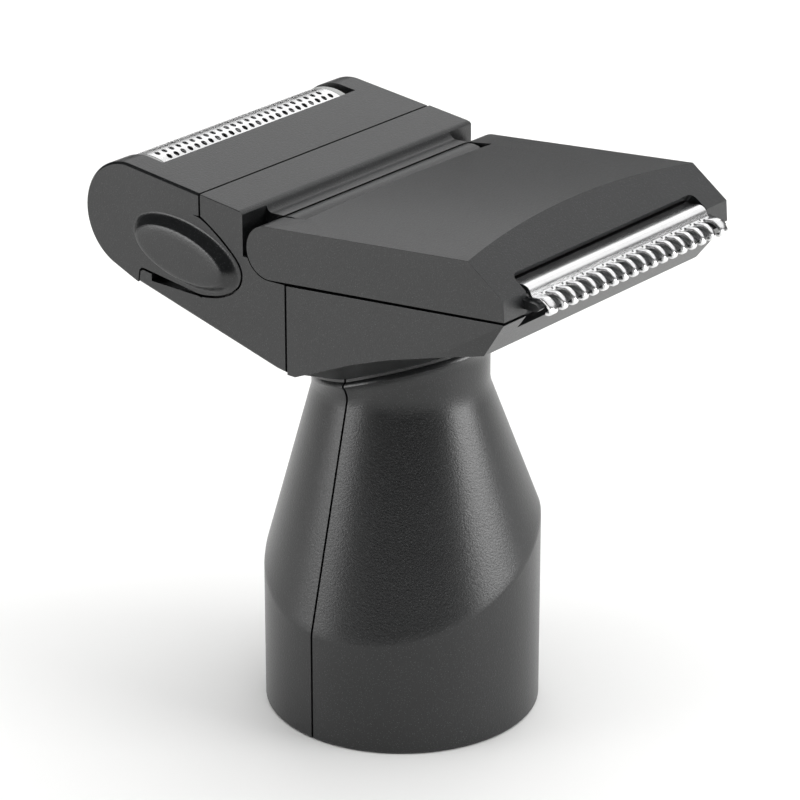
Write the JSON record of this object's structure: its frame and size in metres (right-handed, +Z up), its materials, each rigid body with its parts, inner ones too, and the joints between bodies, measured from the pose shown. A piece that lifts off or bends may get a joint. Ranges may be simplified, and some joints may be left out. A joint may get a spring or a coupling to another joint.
{
  "type": "two-ended groomer head",
  "caption": "Plug-on body groomer head with a round conical base, a pull-off foil shaver cassette at one end and a flip-up comb trimmer at the other.",
  "frame": {"origin": "centre of the bounding box at its bottom, which is the plane of the base rim; the base axis stands 1.75 mm behind it, at x = -0.00175", "axes": "+X towards the comb trimmer, -X towards the foil shaver, +Y along the cutting edges, +Z up the base axis"},
  "size_m": [0.0672, 0.0446, 0.0716],
  "materials": {
    "shell_plastic": "fine moulded grain, charcoal",
    "inner_plastic": "natural acetal",
    "frame_plastic": "light grey moulded",
    "blade_steel": "ground and polished",
    "foil_steel": "bright electroformed foil",
    "pin_steel": "drawn wire and rod"
  },
  "bodies": {
    "housing": {"housing_rear": "shell_plastic", "housing_front": "shell_plastic", "hinge_barrel": "shell_plastic", "hinge_pin": "pin_steel", "housing_screw_left": "pin_steel", "housing_screw_right": "pin_steel", "coupling_ring": "inner_plastic", "drive_bulkhead": "inner_plastic", "pivot_pin": "pin_steel", "guide_rod_rear": "pin_steel", "guide_rod_front": "pin_steel"},
    "lever": {"drive_lever": "inner_plastic"},
    "slider": {"drive_slider": "inner_plastic"},
    "cutter_base": {"cutter_slide_plate": "pin_steel", "cutter_spring_left": "pin_steel", "cutter_spring_right": "pin_steel"},
    "cutter": {"cutter_carrier": "inner_plastic", "undercutter": "blade_steel"},
    "cassette": {"cassette_frame": "shell_plastic", "foil_sheet": "foil_steel", "foil_end_frame_left": "frame_plastic", "foil_end_frame_right": "frame_plastic"},
    "trimmer": {"trimmer_cover": "shell_plastic", "trimmer_base": "shell_plastic", "fixed_blade": "blade_steel", "blade_screw_left": "pin_steel", "blade_screw_right": "pin_steel", "blade_spring": "pin_steel"},
    "moving_blade": {"moving_blade": "blade_steel", "blade_carrier": "inner_plastic"}
  },
  "joints": [
    {"name": "lever_rock", "type": "hinge", "parent": "housing", "child": "lever", "pos_m": [-0.00175, 0, 0.024], "axis": [1, 0, 0], "range_deg": [-2.8, 2.8]},
    {"name": "slider_stroke", "type": "slide", "parent": "housing", "child": "slider", "axis": [0, 1, 0], "range_m": [-0.0014, 0.0014]},
    {"name": "cutter_stroke", "type": "slide", "parent": "housing", "child": "cutter_base", "axis": [0, 1, 0], "range_m": [-0.0016, 0.0016]},
    {"name": "cutter_float", "type": "slide", "parent": "cutter_base", "child": "cutter", "axis": [0, 0, 1], "range_m": [-0.0008, 0], "stiffness_N_per_m": 400, "springref_m": 0.0004, "deforming": ["cutter_spring_left", "cutter_spring_right"]},
    {"name": "cassette_pull", "type": "slide", "parent": "housing", "child": "cassette", "axis": [-0.866, 0, 0.5], "range_m": [0, 0.02]},
    {"name": "trimmer_flip", "type": "hinge", "parent": "housing", "child": "trimmer", "pos_m": [-0.00445, 0, 0.0639], "axis": [0, -1, 0], "range_deg": [0, 40]},
    {"name": "blade_stroke", "type": "slide", "parent": "trimmer", "child": "moving_blade", "axis": [0, 1, 0], "range_m": [-0.0016, 0.0016]}
  ],
  "couplings": [
    {"joint": "lever_rock", "follows": "slider_stroke", "rad_per_m": -32.9},
    {"joint": "cutter_stroke", "follows": "slider_stroke", "ratio": 1},
    {"joint": "blade_stroke", "follows": "slider_stroke", "ratio": 1}
  ]
}
